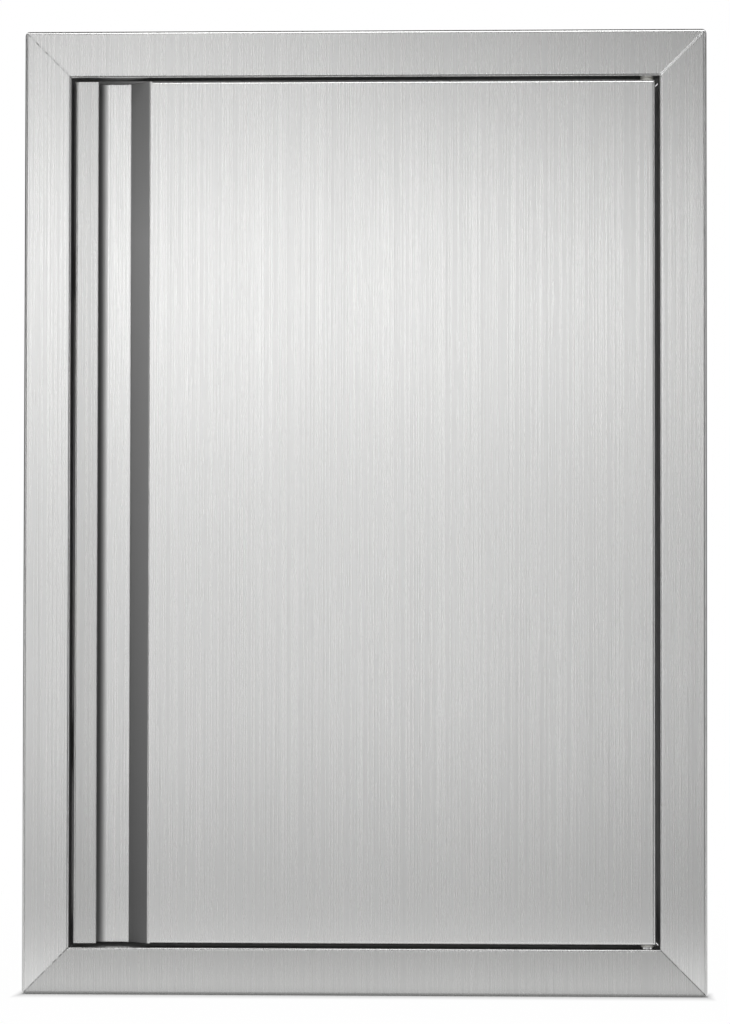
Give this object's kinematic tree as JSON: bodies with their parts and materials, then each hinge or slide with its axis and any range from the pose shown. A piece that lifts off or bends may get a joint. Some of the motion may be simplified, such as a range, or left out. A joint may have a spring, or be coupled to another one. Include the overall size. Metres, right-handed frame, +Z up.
{
  "type": "island access door",
  "caption": "Rectangular access door for an outdoor kitchen island: mitred sheet frame, flush double-skin door with a full-height recessed finger channel, hung on spring pivots.",
  "frame": {"origin": "centre of the cut-out in the island's wall, in the plane of the wall's front face", "axes": "+X to the right seen from the front, +Y into the island, +Z up"},
  "size_m": [0.4318, 0.04, 0.6096],
  "materials": {
    "frame_steel": "fine brushed stainless, grain upright",
    "door_steel": "fine brushed stainless, grain upright",
    "grip_steel": "brushed stainless, smoother than the panel",
    "liner_steel": "plain rolled stainless",
    "plate_steel": "zinc-plated steel",
    "pin_steel": "turned stainless, bright",
    "bush_plastic": "natural off-white plastic",
    "spring_steel": "bright drawn wire",
    "knob_steel": "turned, satin",
    "catch_plastic": "white moulded plastic",
    "magnet": "dark sintered ferrite",
    "screw_steel": "bright stainless"
  },
  "bodies": {
    "frame": {"top_rail": "frame_steel", "bottom_rail": "frame_steel", "latch_stile": "frame_steel", "hinge_stile": "frame_steel", "corner_plates": "plate_steel", "upper_pivot_plate": "plate_steel", "lower_pivot_plate": "plate_steel", "upper_socket_bush": "bush_plastic", "lower_pivot_stud": "pin_steel", "pivot_washer": "pin_steel", "catch_housings": "catch_plastic", "catch_magnets": "magnet", "catch_pole_plates": "plate_steel", "catch_screws": "screw_steel"},
    "door": {"door_skin": "door_steel", "grip_strip": "grip_steel", "door_liner": "liner_steel", "upper_pivot_bracket": "plate_steel", "lower_pivot_bracket": "plate_steel", "upper_door_bush": "bush_plastic", "lower_door_bush": "bush_plastic", "strike_plates": "plate_steel", "strike_screws": "screw_steel", "liner_screws": "screw_steel"},
    "pin": {"spring_pin": "pin_steel", "pin_clip": "spring_steel", "pin_spring": "spring_steel", "release_knob": "knob_steel"}
  },
  "joints": [
    {"name": "door_hinge", "type": "hinge", "parent": "frame", "child": "door", "pos_m": [0.1784, -0.0045, 0], "axis": [0, 0, 1], "range_deg": [0, 110]},
    {"name": "pin_slide", "type": "slide", "parent": "door", "child": "pin", "axis": [0, 0, -1], "range_m": [0, 0.007], "stiffness_N_per_m": 800, "springref_m": -0.005, "deforming": ["pin_spring"]}
  ]
}
